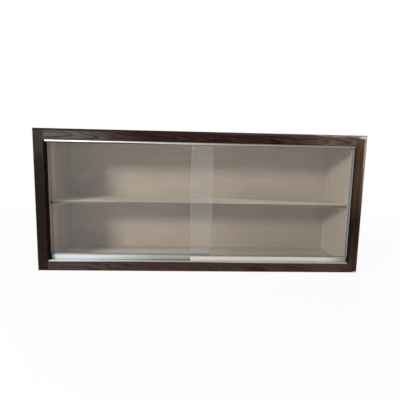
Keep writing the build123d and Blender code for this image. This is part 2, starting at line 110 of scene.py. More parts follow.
class Finish:
    """The nodes of one material, or of the room around the cabinet."""

    def __init__(self, owner):
        owner.use_nodes = True
        self.owner = owner
        self.tree = owner.node_tree
        self.tree.nodes.clear()

    def node(self, kind, settings, sockets, output=0):
        """Adds a node of a type, with its settings and then its inputs. Gives one output."""
        made = self.tree.nodes.new("ShaderNode" + kind)
        for name, value in settings.items():
            setattr(made, name, value)
        for name, value in sockets.items():
            if isinstance(value, Wire):
                self.tree.links.new(value.socket, made.inputs[name])
            else:
                made.inputs[name].default_value = value
        return Wire(self, made.outputs[output]) if made.outputs else None

    def place(self):
        """The piece's own coordinates in metres, as three wires."""
        vector = self.node("TexCoord", {}, {}, "Object")
        split = self.node("SeparateXYZ", {}, {"Vector": vector})
        return [Wire(self, output) for output in split.socket.node.outputs]

    def noise(self, x, y, z, detail=2.0, roughness=0.5):
        """Soft noise around 0.5, with x, y and z already scaled to its features."""
        vector = self.node("CombineXYZ", {}, {0: x, 1: y, 2: z})
        sockets = {"Vector": vector, "Scale": 1.0, "Detail": detail, "Roughness": roughness}
        return self.node("TexNoise", {}, sockets, "Fac")

    def step(self, value, low, high):
        """Rises smoothly from 0 at low to 1 at high."""
        sockets = {"Value": value, "From Min": low, "From Max": high}
        return self.node("MapRange", {"interpolation_type": "SMOOTHSTEP"}, sockets)

    def mix(self, share, first, second, blend="MIX"):
        """One colour changing to another by a share."""
        settings = {"data_type": "RGBA", "blend_type": blend}
        return self.node("Mix", settings, {0: share, 6: first, 7: second}, 2)

    def coat(self, sockets, height, depth):
        """The finished surface, with a relief whose height of 1 stands for depth in metres."""
        relief = {"Height": height, "Distance": depth, "Strength": 1.0}
        normal = self.node("Bump", {}, relief)
        self.show(self.node("BsdfPrincipled", {}, sockets | {"Normal": normal}))

    def show(self, shader):
        """Puts a shader on the surface."""
        self.node("OutputMaterial", {}, {"Surface": shader})


def colour(red, green, blue):
    """A colour in display values from 0 to 255, as a node takes it."""
    shares = [value / 255 for value in (red, green, blue)]
    return [s / 12.92 if s <= 0.04045 else ((s + 0.055) / 1.055) ** 2.4 for s in shares] + [1.0]


def seen_directly(finish):
    """1 for what is seen straight, mirrored or through glass, and 0 for soft light."""
    camera_ray = finish.node("LightPath", {}, {}, "Is Camera Ray")
    rays = camera_ray.socket.node.outputs
    return camera_ray | Wire(finish, rays["Is Glossy Ray"]) | Wire(finish, rays["Is Transmission Ray"])


room_fill = 0.43
room = Finish(bpy.data.worlds.new("studio"))
bpy.context.scene.world = room.owner
room_strength = seen_directly(room) * (1 - room_fill) + room_fill
white_room = {"Color": colour(255, 255, 255), "Strength": room_strength}
room.node("OutputWorld", {}, {"Surface": room.node("Background", {}, white_room)})

floor_level = -0.0006
bpy.ops.object.select_all(action="DESELECT")
bpy.ops.mesh.primitive_grid_add(x_subdivisions=8, y_subdivisions=8, size=30)
bpy.ops.transform.translate(value=(0, 0, floor_level))
bpy.ops.object.transform_apply()
floor = bpy.context.object
floor.name = "paper_floor"
paper = Finish(bpy.data.materials.new("floor_paper"))
paper_x, paper_y = paper.place()[:2]
far_off = paper.step((paper_x * paper_x + paper_y * paper_y) ** 0.5, 0.8, 3.0)
paper_fibres = paper.noise(paper_x * 400, paper_y * 400, 0.0, 3.0)
paper_tone = paper.mix(paper_fibres, colour(238, 238, 237), colour(248, 248, 247))
paper_matt = paper.node("BsdfDiffuse", {}, {"Color": paper_tone})
paper_white = paper.node("Emission", {}, {"Color": colour(255, 255, 255), "Strength": 1.0})
paper_share = seen_directly(paper) * (0.92 + far_off * 0.08)
paper.show(paper.node("MixShader", {}, {0: paper_share, 1: paper_matt, 2: paper_white}))
floor.data.materials.append(paper.owner)


def softbox(name, place, target, width, height, power, tint):
    """A soft rectangular lamp that stands at a place and faces a target."""
    data = bpy.data.lights.new(name, "AREA")
    data.shape = "RECTANGLE"
    data.size, data.size_y = width, height
    data.energy = power
    data.color = tint
    lamp = bpy.data.objects.new(name, data)
    lamp.location = place
    lamp.rotation_euler = (Vector(target) - Vector(place)).to_track_quat("-Z", "Y").to_euler()
    lamp.visible_camera = False
    bpy.context.scene.collection.objects.link(lamp)


cabinet_middle = (0, 0, 0.26)
softbox("window_lamp", (-1.87, -2.25, 1.26), cabinet_middle, width=0.72, height=0.45, power=80,
        tint=(0.955, 0.98, 0.95))
softbox("back_lamp", (1.6, 2.6, 1.6), cabinet_middle, width=1.2, height=1.2, power=38,
        tint=(1.0, 0.99, 0.97))


# Case boards
# The top, the bottom and the two sides are 19 mm boards of seven-ply birch, rebated for each
# other and for the back. The outside is stained like the frame, and the inside is varnished.
stain_dark = colour(26, 14, 11)
stain_mid = colour(54, 35, 27)
half_width = 0.610
cabinet_height = 0.526
board_thickness = 0.019
board_plies = 7


def dress(finish, *names):
    """Gives solids of the cabinet their finish."""
    for name in names:
        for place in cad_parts[name].material_slots:
            place.material = finish.owner


def plywood(name, axis, low, thickness, plies, along, light, dark, outside=(), pale_where=None,
            shaded=None, grimy_front=None):
    """Veneers laid crosswise through a board. Its faces show the outermost veneer's figure and
    its edges the layers. Each stained outside is an axis, a sign and a place. A board is paler
    where a function of its finish, x and y says, mostly as painted light, and browner where a
    function of its finish, x and z says, as painted shade. The front edge may be grimy from hands."""
    finish = Finish(bpy.data.materials.new(name))
    place = dict(zip("xyz", finish.place()))
    length, depth = place[along], place[axis]
    across = place[({"x", "y", "z"} - {along, axis}).pop()]
    layer = (depth - low) * (plies / thickness)
    crosswise = finish.step(abs(((layer | 0.02) & (plies - 0.02)) % 2.0 - 1.5), 0.52, 0.47)
    glue = finish.step(abs(((layer | 0.5) & (plies - 0.5)) % 1.0 - 0.5), 0.43, 0.49)
    sway = finish.noise(length * 1.7, across * 8, layer * 0.2, 3.0)
    figure = finish.step(abs((sway * 8 + across * 12) % 1.0 - 0.5), 0.1, 0.5)
    fibres = finish.noise(length * 26, across * 800, depth * 800)
    flecks = finish.step(finish.noise(length * 80, across * 1300, depth * 1300, 1.0), 0.66, 0.74)
    patches = finish.noise(length * 2.5, across * 5, depth * 5)
    tone = finish.mix(figure * 0.2 + fibres * 0.32 + patches * 0.4 - 0.04, light, dark)
    # Painted shade: browner where the function of x and z says.
    if shaded:
        tone = finish.mix(shaded(finish, place["x"], place["z"]), tone, colour(118, 100, 84))
    # Paler where the function says: mostly painted light, on the case's floor, its left side and the
    # shelf.
    if pale_where:
        pale = pale_where(finish, place["x"], place["y"] + (patches - 0.5) * 0.05)
        tone = finish.mix(pale, tone, colour(248, 238, 218))
    end_pores = finish.noise(length * 700, across * 700, depth * 1100, 1.0)
    end_tone = finish.mix(end_pores, colour(158, 120, 84), colour(112, 78, 50))
    tone = finish.mix(crosswise, tone, end_tone)
    tone = finish.mix(glue * 0.75, tone, colour(70, 44, 26))
    tone = finish.mix(flecks * 0.3, tone, colour(140, 108, 76))
    rough = 0.42 + fibres * 0.16 + crosswise * 0.2
    height = fibres * 0.5 - flecks * 0.6 - crosswise * 0.5 - glue * 0.4
    if grimy_front is not None:
        edge = finish.step(place["y"] + fibres * 0.0003, grimy_front + 0.0016, grimy_front + 0.0010)
        grime_and_shade = finish.noise(length * 9, depth * 200, 3.0, 3.0)
        edge_tone = finish.mix(grime_and_shade, colour(94, 83, 72), colour(70, 60, 52))
        tone = finish.mix(edge * (1 - crosswise * 0.1), tone, edge_tone)
    for side_axis, sign, limit in outside:
        skin = place[side_axis] * sign + (sway - 0.5) * 0.001
        stained = finish.step(skin, limit - 0.0008, limit - 0.0003)
        stain = finish.mix(figure * 0.5 + fibres * 0.5, stain_mid, stain_dark)
        tone = finish.mix(stained, tone, stain)
    sockets = {"Base Color": tone, "Roughness": rough, "Specular IOR Level": 0.35}
    finish.coat(sockets, height, depth=0.0002)
    return finish


case_light = colour(177, 161, 144)
case_dark = colour(155, 137, 120)
faded_light = colour(190, 174, 157)
faded_dark = colour(160, 143, 126)


def lit_floor(finish, x, y):
    """The case's floor is a little paler behind the doors, and more so in its left half: painted light
    where the window lamp's light falls.
    """
    return finish.step(y, 0.13, 0.05) * (finish.step(x, 0.35, -0.2) * 0.45 + 0.05)


def lit_mouth(finish, x, y):
    """The left side is paler just behind the front frame: painted light on a part that lies in shade.
    """
    return finish.step(y, 0.0, -0.06) * 0.5


above = ("z", 1, cabinet_height)
below = ("z", -1, 0.0)
for name, axis, low, along, light, dark, outside, pale_where in (
    ("left_side", "x", -half_width, "z", case_light, case_dark,
     [("x", -1, half_width), above, below], lit_mouth),
    ("right_side", "x", half_width - board_thickness, "z", faded_light, faded_dark,
     [("x", 1, half_width), above, below], None),
    ("top_panel", "z", cabinet_height - board_thickness, "x", case_light, case_dark, [above], None),
    ("bottom_panel", "z", 0.0, "x", case_light, case_dark, [below], lit_floor),
):
    board = plywood(name + "_plywood", axis, low, board_thickness, board_plies, along, light, dark,
                    outside, pale_where)
    dress(board, name)


# Back board
# One sheet of three-ply, 6 mm thick, is let into the rebates and nailed. Its grain runs across,
# and painted shade makes its lower right part a little browner.
def back_shade(finish, x, z):
    """How much painted shade browns the back: in its lower right part."""
    return finish.step(x, 0.05, 0.40) * finish.step(z, 0.24, 0.16) * 0.35


back_front = 0.1345
back_thickness = 0.006
back = plywood("back_plywood", "y", back_front, back_thickness, plies=3, along="x",
               light=case_light, dark=case_dark, shaded=back_shade)
dress(back, "back_panel")


# Rear rails and shelf cleats
# Planed strips of pine. The two rear rails take the wall screws and are nailed through the sides.
# The cleats carry the shelf: the side ones are screwed on, and the rear one is nailed from behind.
def softwood(name, ring_middle):
    """Pine that was sawn along x or y: pale wood with orange rings, seen as lines or as arcs."""
    rings_per_metre = 330
    finish = Finish(bpy.data.materials.new(name))
    x, y, z = finish.place()
    sway = finish.noise(x * 3, y * 3, z * 12, 3.0) - 0.5
    rise, back = z - ring_middle[1], y * 0.35 - ring_middle[0]
    from_heart = (rise * rise + back * back) ** 0.5 + sway * 0.01 + x * 0.01
    rings = from_heart * rings_per_metre % 1.0
    late = finish.step(rings, 0.35, 0.85) - finish.step(rings, 0.93, 1.0)
    fibres = finish.noise(x * 30, y * 60, z * 900)
    dirt = finish.step(finish.noise(x * 5, y * 9, z * 14, 4.0), 0.55, 0.75)
    tone = finish.mix(late * 0.75, colour(208, 186, 154), colour(176, 138, 98))
    tone = finish.mix(fibres * 0.35, tone, colour(168, 140, 104))
    tone = finish.mix(dirt * 0.35, tone, colour(128, 110, 88))
    rough = 0.55 + fibres * 0.2 - late * 0.1
    sockets = {"Base Color": tone, "Roughness": rough}
    finish.coat(sockets, late * 0.4 + fibres * 0.5, depth=0.00025)
    return finish


dress(softwood("hanging_rail_pine", ring_middle=(0.02, 0.45)), "hanging_rail")
dress(softwood("lower_back_rail_pine", ring_middle=(0.03, 0.10)), "lower_back_rail")
dress(softwood("cleat_pine", ring_middle=(-0.02, 0.21)), "left_shelf_cleat",
      "right_shelf_cleat", "rear_shelf_cleat")


# Shelf
# A varnished board of five-ply, 9.5 mm thick, that lies loose on its cleats. It is paler
# along its front, most in the right half, where the pale part narrows towards the end, and a
# strip of painted light lies on its left end.
def pale_and_lit_shelf(finish, x, y):
    """How pale the shelf is: in a wedge and along the front, both most in the right half, and in
    a strip of painted light at its left end."""
    inner_end = ((x - 0.12) | 0.0) * -0.30 + 0.10
    wedge = finish.step(y - inner_end, 0.02, -0.02) * (finish.step(x, -0.1, 0.15) * 0.65 + 0.3)
    front = finish.step(y, 0.0, -0.04) * finish.step(x, 0.0, 0.2)
    # Painted light: a strip at the left end, where the left side casts its shadow.
    lit_strip = finish.step(y, 0.0, -0.06) * finish.step(x, -0.25, -0.40)
    return wedge | lit_strip | (front & wedge * 4)


shelf_bottom = 0.2475
shelf_thickness = 0.0095
shelf_front = -0.0935
shelf = plywood("shelf_plywood", "z", shelf_bottom, shelf_thickness, plies=5, along="x",
                light=colour(206, 194, 173), dark=colour(186, 172, 152), pale_where=pale_and_lit_shelf,
                grimy_front=shelf_front)
dress(shelf, "shelf")


# Cleat screws
# Four countersunk wood screws of zinc-plated steel hold the side cleats. Their heads have a
# cross slot and are turned in flush.
def pick(piece, facing):
    """Leaves selected, in edit mode, only the faces that face up, for 1, or down, for -1."""
    bpy.ops.object.mode_set(mode="EDIT")
    bpy.ops.mesh.select_mode(type="FACE")
    bpy.ops.mesh.select_all(action="DESELECT")
    bpy.ops.object.mode_set(mode="OBJECT")
    for face in piece.data.polygons:
        face.select = face.normal.z * facing > 0.9
    bpy.ops.object.mode_set(mode="EDIT")


def draw_down(fall, shrink=1.0):
    """Extrudes the selected face down, and scales its end by a share."""
    bpy.ops.mesh.extrude_region_move(TRANSFORM_OT_translate={"value": (0, 0, -fall)})
    bpy.ops.transform.resize(value=(shrink, shrink, 1))


def cut_cross(piece, top, reach, width, depth):
    """Presses a tapering cross slot into a screw's head."""
    taper = 0.6
    for angle in (0, math.pi / 2):
        bpy.ops.object.select_all(action="DESELECT")
        bpy.ops.mesh.primitive_cube_add(size=1, location=(0, 0, top), rotation=(0, 0, angle))
        punch = bpy.context.object
        punch.scale = (reach, width, depth * 2)
        bpy.ops.object.transform_apply()
        pick(punch, facing=-1)
        bpy.ops.transform.resize(value=(taper, taper, 1), center_override=(0, 0, 0))
        bpy.ops.object.mode_set(mode="OBJECT")
        slot_cut = piece.modifiers.new("slot", "BOOLEAN")
        slot_cut.operation, slot_cut.object = "DIFFERENCE", punch
        bpy.context.view_layer.objects.active = piece
        bpy.ops.object.modifier_apply(modifier="slot")
        bpy.data.objects.remove(punch)


def cut_thread(piece, core, start, pitch, turns):
    """Winds a ridge around a screw's shank, and joins it to the screw."""
    ridge_radius = pitch * 0.36
    bpy.ops.object.select_all(action="DESELECT")
    bpy.ops.mesh.primitive_circle_add(vertices=4, radius=ridge_radius, location=(core, 0, start),
                                      rotation=(math.pi / 2, 0, 0))
    ridge = bpy.context.object
    bpy.ops.object.transform_apply()
    winding = ridge.modifiers.new("winding", "SCREW")
    winding.axis, winding.screw_offset, winding.iterations = "Z", -pitch, turns
    winding.steps = winding.render_steps = 12
    bpy.ops.object.modifier_apply(modifier="winding")
    bpy.ops.object.mode_set(mode="EDIT")
    bpy.ops.mesh.select_all(action="SELECT")
    bpy.ops.mesh.fill_holes(sides=4)
    bpy.ops.mesh.select_all(action="SELECT")
    bpy.ops.mesh.normals_make_consistent(inside=False)
    bpy.ops.object.mode_set(mode="OBJECT")
    piece.select_set(True)
    bpy.context.view_layer.objects.active = piece
    bpy.ops.object.join()


def drive(model, name, node, seats):
    """Puts a copy of a fastener at each seat, a place and the way its head faces, in the stead
    of a node's plain ones. Each copy is turned a little further than the last."""
    further = 0.65
    for number, (place, outward) in enumerate(seats, 1):
        copy = model.copy()
        copy.data = model.data.copy()
        copy.name = f"{name}_{number}"
        turned = Vector((0, 0, 1)).rotation_difference(Vector(outward)).to_matrix().to_4x4()
        spin = Matrix.Rotation(number * further, 4, "Z")
        copy.data.transform(Matrix.Translation(place) @ turned @ spin)
        bpy.context.scene.collection.objects.link(copy)
        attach(copy, "cabinet")
        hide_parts(node)
    bpy.data.objects.remove(model)


def zinc_steel(name, base, shade, rust):
    """Zinc-plated steel: faint crystals, a yellowish passivation, handling marks and rust."""
    finish = Finish(bpy.data.materials.new(name))
    vector = finish.node("TexCoord", {}, {}, "Object")
    crystal = finish.node("TexVoronoi", {}, {"Vector": vector, "Scale": 700.0}, "Color")
    x, y, z = finish.place()
    drawn = finish.noise(x * 200, y * 900, z * 900, 3.0)
    stains = finish.step(finish.noise(x * 260, y * 260, z * 260, 4.0), 0.52, 0.7)
    spots = finish.step(finish.noise(x * 900, y * 900, z * 900, 3.0), 0.7 - rust * 0.3, 0.8)
    tone = finish.mix(0.14, finish.mix(drawn, base, shade), crystal, "SOFT_LIGHT")
    tone = finish.mix(stains * 0.4, tone, colour(140, 122, 92))
    tone = finish.mix(spots * rust, tone, colour(104, 66, 42))
    rough = 0.3 + drawn * 0.15 + stains * 0.2 + spots * rust * 0.3
    metal = 1 - spots * rust
    sockets = {"Base Color": tone, "Roughness": rough, "Metallic": metal}
    finish.coat(sockets, drawn - stains * 0.5 + spots * 0.5, depth=0.00005)
    return finish


screw_zinc = zinc_steel("screw_zinc", base=colour(196, 194, 184), shade=colour(150, 148, 142),
                        rust=0.2)
sharp_angle = math.radians(35)
head_radius = 0.0035
head_rim = 0.0003
head_cone = 0.0018
shank_radius = 0.0014
shank_length = 0.0215
point_length = 0.0023
bpy.ops.object.select_all(action="DESELECT")
bpy.ops.mesh.primitive_cylinder_add(vertices=32, radius=head_radius, depth=head_rim,
                                    location=(0, 0, -head_rim / 2))
cleat_screw = bpy.context.object
bpy.ops.object.transform_apply()
pick(cleat_screw, facing=-1)
draw_down(head_cone, shrink=shank_radius / head_radius)
draw_down(shank_length)
draw_down(point_length, shrink=0.12)
bpy.ops.object.mode_set(mode="OBJECT")
cut_cross(cleat_screw, top=0.0, reach=0.0036, width=0.0009, depth=0.0014)
cut_thread(cleat_screw, core=shank_radius, start=-0.0080, pitch=0.0014, turns=9)
bpy.ops.object.shade_smooth_by_angle(angle=sharp_angle)
cleat_screw.data.materials.append(screw_zinc.owner)
cleat_face = 0.579
cleat_middle = 0.238
cleat_screw_depths = (-0.0265, 0.0895)
drive(cleat_screw, "cleat_screw", "cleat_screws", [
    ((side * cleat_face, depth, cleat_middle), (-side, 0, 0))
    for side in (-1, 1) for depth in cleat_screw_depths
])


# Front frame
# Four square members of solid oak with a tenon at each joint, eased along the outer front edge.
# The dark stain reaches 28 mm into the opening and is worn through along the right outer edges.
front_y = -0.1525
stain_end = -0.125
opening_half = 0.571
opening_bottom = 0.037
opening_top = 0.486


def rubbed_edge(finish, distance, along, width):
    """1 where the stain has gone, within a wavering width of an edge."""
    waver = finish.noise(along * 55, distance * 60, 0.0, 4.0, 0.6) - 0.5
    return finish.step(width + waver * 0.008 - distance, -0.0004, 0.0006)


def scuffs(finish, x, z, places):
    """1 on small scuffs in the face, each at a middle, x and z, with half its width and height."""
    ragged = finish.noise(x * 260, z * 700, 0.0, 3.0) - 0.5
    found = 0.0
    for middle_x, middle_z, reach_x, reach_z in places:
        across, up = (x - middle_x) / reach_x, (z - middle_z) / reach_z
        found = finish.step(1 - across * across - up * up + ragged * 3, 0.0, 0.7) | found
    return found


def stained_oak(name, along, heart_across, heart_behind, taper, depth, sheen_and_grey, faded=0.0):
    """Stained solid wood that was sawn along x or z from near the heart, so that its rings
    come out as flames. The stain is darker by its depth. A painted sheen greys it by three
    shares: at the low or left end, all along and at the other end, and on the bottom rail this
    is also a greying of the wood. A member that stands in the light is faded in its upper half.
    The edges are worn, and the eased top edge is lighter also by a painted highlight. Painted
    shade darkens the opening, the rear part of the opening is bare, and the bare wood in the
    right half is darkened by painted shade. Dust lies on the ledge in front of the lower track."""
    rings_per_metre = 300
    finish = Finish(bpy.data.materials.new(name))
    x, y, z = finish.place()
    length, across = (x, z) if along == "x" else (z - cabinet_height / 2, x)
    reach = 0.45 if along == "x" else 0.24
    sway = finish.noise(length * 5, across * 24, y * 24, 3.0) - 0.5
    aside, behind = across - heart_across, y - heart_behind
    from_heart = (aside * aside + behind * behind) ** 0.5 + sway * 0.018 + length * taper
    rings = from_heart * rings_per_metre % 1.0
    late = finish.step(rings, 0.3, 0.8) - finish.step(rings, 0.9, 1.0)
    fibres = finish.noise(length * 20, across * 600, y * 600, 3.0)
    pores = finish.step(finish.noise(length * 50, across * 1300, y * 1300, 1.0), 0.62, 0.7)
    clouds = finish.noise(length * 7, across * 40, y * 40, 3.0)
    figure = late * 0.5 + fibres * 0.5 + clouds * 0.7 - 0.4
    drift = length + sway * 0.3
    sunned = finish.step(drift, -0.09, 0.06) * faded
    tone = finish.mix(figure + depth - sunned, stain_mid, stain_dark)
    tone = finish.mix(sunned * 0.28, tone, colour(108, 82, 62))
    # Painted sheen, grey and bluish, of the window's reflection: at the low or left end, all along and
    # at the other end. On the bottom rail it also stands for greyed wood.
    sheen_and_greying = finish.step(drift, reach * -0.45, -reach) * sheen_and_grey[0] + sheen_and_grey[1]
    sheen_and_greying = sheen_and_greying + finish.step(drift, reach * 0.6, reach) * sheen_and_grey[2]
    sheen_and_grey_tone = finish.mix(finish.step(x, -0.4, 0.4), colour(118, 109, 114), colour(122, 101, 92))
    front = y - front_y
    side, top = half_width - x | front, cabinet_height - z | front
    flat = finish.step(top, 0.0065, 0.0105)
    tone = finish.mix(sheen_and_greying * flat * (1.1 - figure), tone, sheen_and_grey_tone)
    thin_side = finish.step(side + sway * 0.01, 0.018, 0.004) * (finish.step(z, 0.2, 0.3) * 0.6 + 0.1)
    # The eased top edge is lighter where the stain is thin, and also by a painted highlight of the
    # lamp on its rounded face.
    thin_and_lit_top = finish.step(top + sway * 0.006, 0.011, 0.006) * finish.step(x, -0.05, 0.2) * 0.5
    tone = finish.mix((thin_side | thin_and_lit_top) * (1 - late * 0.4), tone, colour(108, 84, 68))
    tone = finish.mix(pores * 0.7, tone, colour(16, 9, 7))
    # Painted shade: the inner faces of the opening are darkened almost to black.
    opening_shade = finish.step(abs(x), opening_half + 0.0012, opening_half + 0.0004)
    opening_shade = opening_shade & finish.step(z, opening_top + 0.0010, opening_top + 0.0002)
    opening_shade = opening_shade & finish.step(z, opening_bottom - 0.0010, opening_bottom - 0.0002)
    tone = finish.mix(opening_shade * 0.75, tone, colour(12, 7, 6))
    ledge = finish.step(abs(z - opening_bottom), 0.0006, 0.0002) & finish.step(front, 0.006, 0.005)
    ledge = ledge & finish.step(abs(x), opening_half + 0.0004, opening_half - 0.0004)
    dust = finish.step(abs(x + 0.15), 0.1, 0.4) * 0.65 + 0.1
    tone = finish.mix(ledge * dust, tone, colour(196, 192, 190))
    worn_side = rubbed_edge(finish, side, z, finish.step(z, 0.15, 0.5) * 0.0085 + 0.0015)
    # Worn to bare near the right end of the top edge, in a tone that also paints the eased edge's
    # highlight.
    worn_and_lit_top = rubbed_edge(finish, top, x, finish.step(x, 0.36, 0.46) * 0.011 - 0.002)
    worn_and_lit_top = worn_and_lit_top * finish.step(top, 0.0105, 0.0090)
    worn_left = rubbed_edge(finish, x + half_width | front, z, -0.0015)
    worn_base = rubbed_edge(finish, z | front, x, finish.step(x, 0.5, 0.61) * 0.004 - 0.003)
    inside = finish.step(abs(x), half_width - 0.0010, half_width - 0.0020)
    inside = inside & finish.step(z, cabinet_height - 0.0008, cabinet_height - 0.0018)
    inside = inside & finish.step(z, 0.0006, 0.001)
    bare = finish.step(y + sway * 0.002, stain_end, stain_end + 0.0012) & inside
    bare_and_shaded_tone = finish.mix(fibres, colour(232, 212, 190), colour(184, 162, 138))
    # Painted shade: the bare wood is darker in the right half, where the lamp lights it.
    bare_and_shaded_tone = finish.mix(finish.step(x, -0.2, 0.2) * 0.6, bare_and_shaded_tone, colour(136, 124, 112))
    rubbed_and_lit_tone = finish.mix(finish.step(fibres, 0.35, 0.65), colour(176, 152, 140),
                             colour(104, 78, 66))
    tone = finish.mix(worn_and_lit_top * 0.85, tone, rubbed_and_lit_tone)
    worn = (worn_side | worn_left | worn_base) * finish.step(fibres + clouds, 0.55, 0.9)
    tone = finish.mix(worn | bare, tone, bare_and_shaded_tone)
    marks = scuffs(finish, x, z, ((-0.09, 0.503, 0.006, 0.0014), (0.03, 0.503, 0.008, 0.0014),
                                  (0.11, 0.502, 0.005, 0.0014), (0.235, 0.508, 0.012, 0.0012),
                                  (0.275, 0.505, 0.009, 0.0014), (0.43, 0.503, 0.010, 0.0014)))
    tone = finish.mix(marks * 0.22, tone, colour(128, 130, 134))
    chalk = scuffs(finish, x, z, ((0.598, 0.5175, 0.022, 0.0065), (0.602, 0.003, 0.014, 0.004)))
    chalk = chalk * finish.step(front + sway * 0.01, 0.009, 0.003)
    tone = finish.mix(chalk * 0.8, tone, colour(196, 200, 204))
    rough = 0.36 + fibres * 0.12 + pores * 0.2 + (worn | bare | chalk) * 0.25
    height = fibres * 0.35 - pores * 0.7 + late * 0.15 - (worn | marks) * 0.5
    sockets = {"Base Color": tone, "Roughness": rough, "Specular IOR Level": 0.05}
    finish.coat(sockets, height, depth=0.00025)
    return finish


top_oak = stained_oak("top_rail_oak", "x", heart_across=0.500, heart_behind=-0.115, taper=0.030,
                      depth=0.25, sheen_and_grey=(0.36, 0.0, 0.62))
bottom_oak = stained_oak("bottom_rail_oak", "x", heart_across=0.004, heart_behind=-0.100,
                         taper=0.010, depth=-0.2, sheen_and_grey=(0.06, 0.12, 0.12))
left_oak = stained_oak("left_stile_oak", "z", heart_across=-0.570, heart_behind=-0.105,
                       taper=0.015, depth=0.75, sheen_and_grey=(0.04, 0.0, 0.08))
right_oak = stained_oak("right_stile_oak", "z", heart_across=0.575, heart_behind=-0.110,
                        taper=0.020, depth=0.25, sheen_and_grey=(0.12, 0.0, 0.36), faded=0.9)
dress(top_oak, "top_rail")
dress(bottom_oak, "bottom_rail")
dress(left_oak, "left_stile")
dress(right_oak, "right_stile")


# Dowels
# Eighteen pegs of beech, 8 mm thick, join the frame to the case: six along the top, six along the
# bottom and three up each side. They are glued half into the one and half into the other.
beech = Finish(bpy.data.materials.new("dowel_beech"))
x, y, z = beech.place()
rays = beech.step(beech.noise(x * 1500, y * 160, z * 1500, 1.0), 0.6, 0.7)
beech_fibres = beech.noise(x * 900, y * 40, z * 900)
beech_tone = beech.mix(beech_fibres, colour(216, 180, 140), colour(186, 146, 106))
beech_tone = beech.mix(rays * 0.6, beech_tone, colour(140, 98, 64))
beech.coat({"Base Color": beech_tone, "Roughness": 0.5 + rays * 0.2}, beech_fibres, depth=0.0002)
dress(beech, "frame_dowels")


# Nails of the back
# Bright wire nails with flat round heads, driven flush: seventeen through the back board, and
# eight through the sides into the ends of the two rear rails.
def wire_nail(length):
    """A nail that hangs head up from the origin, with a plain shank and a conical point."""
    head = 0.0004
    neck = 0.0003
    point = 0.0023
    bpy.ops.object.select_all(action="DESELECT")
    bpy.ops.mesh.primitive_cylinder_add(vertices=20, radius=0.0017, depth=head,
                                        location=(0, 0, -head / 2))
    nail = bpy.context.object
    bpy.ops.object.transform_apply()
    pick(nail, facing=1)
    bpy.ops.mesh.bevel(offset=0.00012, segments=2, affect="EDGES")
    pick(nail, facing=-1)
    draw_down(neck, shrink=0.47)
    draw_down(length - head - neck - point)
    draw_down(point, shrink=0.15)
    bpy.ops.object.mode_set(mode="OBJECT")
    bpy.ops.object.shade_smooth_by_angle(angle=sharp_angle)
    nail.data.materials.append(nail_wire.owner)
    return nail


nail_wire = zinc_steel("nail_wire", base=colour(168, 164, 158), shade=colour(112, 108, 104),
                       rust=0.5)
back_face = back_front + back_thickness
rebate_middle = 0.5955
rail_middle = 0.1465
cleat_nail_gap = 0.188
side_nail_heights = (0.095, 0.179, 0.263, 0.347, 0.431)
rail_nail_heights = (0.025, 0.065, 0.461, 0.501)
nail_rows = [((side * rebate_middle, back_face, height), (0, 1, 0)) for side in (-1, 1)
             for height in side_nail_heights]
nail_rows += [((cleat_nail_gap * step, back_face, cleat_middle), (0, 1, 0))
              for step in range(-3, 4)]
drive(wire_nail(length=0.016), "back_nail", "back_nails", nail_rows)
drive(wire_nail(length=0.038), "rail_nail", "rail_nails", [
    ((side * half_width, rail_middle, height), (side, 0, 0)) for side in (-1, 1)
    for height in rail_nail_heights
])


# Tracks
# Two extruded channels of mill-finish aluminium, screwed into the top and the bottom of the
# frame. The upper guides the glass, and the lower has a rib under each door's wheels.
lip_back = -0.1466


